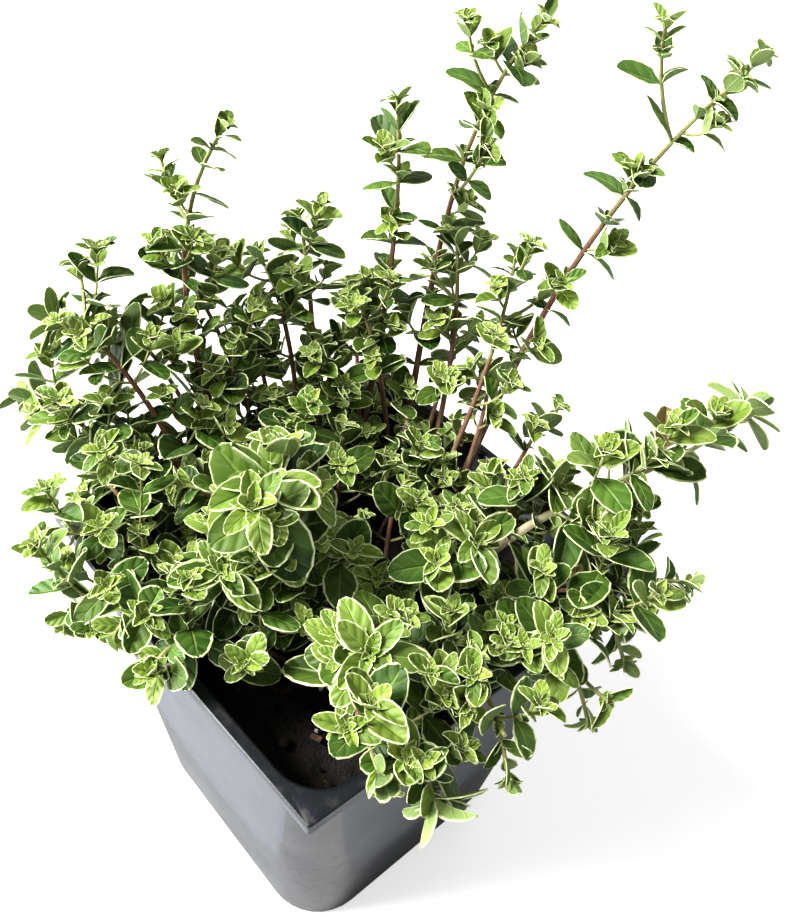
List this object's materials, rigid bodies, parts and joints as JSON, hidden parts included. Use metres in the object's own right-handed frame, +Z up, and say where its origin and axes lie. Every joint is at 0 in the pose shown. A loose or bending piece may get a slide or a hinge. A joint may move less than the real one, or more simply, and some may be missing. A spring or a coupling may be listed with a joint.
{
  "type": "potted thyme",
  "caption": "Variegated thyme in a square tapered plastic nursery pot: leafy sprigs rise from the soil, spread over the rim and trail past its sides.",
  "frame": {"origin": "centre of the pot's flat underside", "axes": "+Z up along the pot's axis; X and Y run along the pot's sides, with the open front corner of the pot at +X -Y"},
  "size_m": [0.1509, 0.1749, 0.2048],
  "materials": {
    "pot_plastic": "satin",
    "potting_mix": "matte",
    "thyme_leaf": "satin",
    "thyme_stem": "matte"
  },
  "bodies": {
    "root": {"pot": "pot_plastic", "soil": "potting_mix", "sprig_arching_right": "thyme_leaf", "sprig_back_1": "thyme_leaf", "sprig_back_2": "thyme_leaf", "sprig_back_3": "thyme_leaf", "sprig_back_4": "thyme_leaf", "sprig_back_5": "thyme_leaf", "sprig_back_right_tall": "thyme_leaf", "sprig_back_tall": "thyme_leaf", "sprig_back_top": "thyme_leaf", "sprig_front_1": "thyme_leaf", "sprig_front_2": "thyme_leaf", "sprig_front_3": "thyme_leaf", "sprig_front_4": "thyme_leaf", "sprig_front_rosette": "thyme_leaf", "sprig_inner_back": "thyme_leaf", "sprig_inner_centre": "thyme_leaf", "sprig_inner_left": "thyme_leaf", "sprig_inner_rear": "thyme_leaf", "sprig_left_1": "thyme_leaf", "sprig_left_2": "thyme_leaf", "sprig_left_3": "thyme_leaf", "sprig_left_4": "thyme_leaf", "sprig_left_far": "thyme_leaf", "sprig_left_low": "thyme_leaf", "sprig_left_middle": "thyme_leaf", "sprig_left_tall": "thyme_leaf", "sprig_middle_1": "thyme_leaf", "sprig_middle_2": "thyme_leaf", "sprig_middle_3": "thyme_leaf", "sprig_near_1": "thyme_leaf", "sprig_near_2": "thyme_leaf", "sprig_near_3": "thyme_leaf", "sprig_near_4": "thyme_leaf", "sprig_near_tall": "thyme_leaf", "sprig_rear_1": "thyme_leaf", "sprig_rear_2": "thyme_leaf", "sprig_rear_3": "thyme_leaf", "sprig_rear_4": "thyme_leaf", "sprig_rear_5": "thyme_leaf", "sprig_rear_6": "thyme_leaf", "sprig_rear_left_far": "thyme_leaf", "sprig_right_1": "thyme_leaf", "sprig_right_2": "thyme_leaf", "sprig_rim_left_1": "thyme_leaf", "sprig_rim_left_2": "thyme_leaf", "sprig_rim_left_3": "thyme_leaf", "sprig_rim_left_4": "thyme_leaf", "sprig_rim_right_1": "thyme_leaf", "sprig_rim_right_2": "thyme_leaf"}
  },
  "joints": []
}
